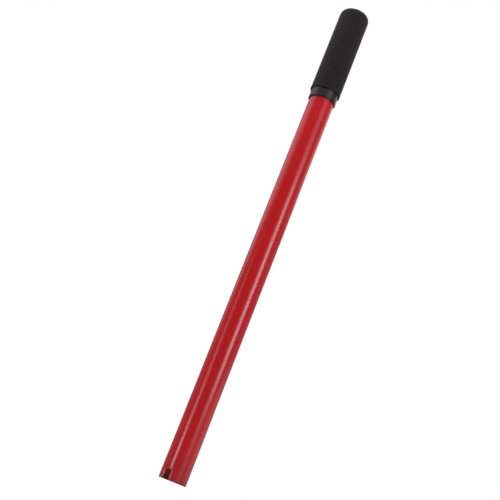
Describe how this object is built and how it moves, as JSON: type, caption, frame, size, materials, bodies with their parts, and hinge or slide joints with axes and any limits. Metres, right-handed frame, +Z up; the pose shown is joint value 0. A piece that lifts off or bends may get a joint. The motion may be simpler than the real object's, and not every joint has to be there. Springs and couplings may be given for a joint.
{
  "type": "post driver",
  "caption": "Hand-held post driver: long round red tube, open and notched at the rim, with a solid striker weight under a black foam grip.",
  "frame": {"origin": "centre of the open rim, at its lowest plane", "axes": "+Z up the tube's axis from the open rim to the grip; the rim notch faces -Y"},
  "size_m": [0.0384, 0.0384, 0.635],
  "materials": {
    "red_coat": "gloss powder coat",
    "striker_steel": "bare turned steel",
    "weld_metal": "as welded",
    "black_vinyl": "smooth gloss vinyl",
    "black_foam": "matte closed-cell foam"
  },
  "bodies": {
    "root": {"drive_tube": "red_coat", "striker_weight": "striker_steel", "plug_weld_front": "weld_metal", "plug_weld_right": "weld_metal", "plug_weld_back": "weld_metal", "plug_weld_left": "weld_metal", "top_weld": "weld_metal", "grip_sleeve": "black_vinyl", "foam_grip": "black_foam"}
  },
  "joints": []
}
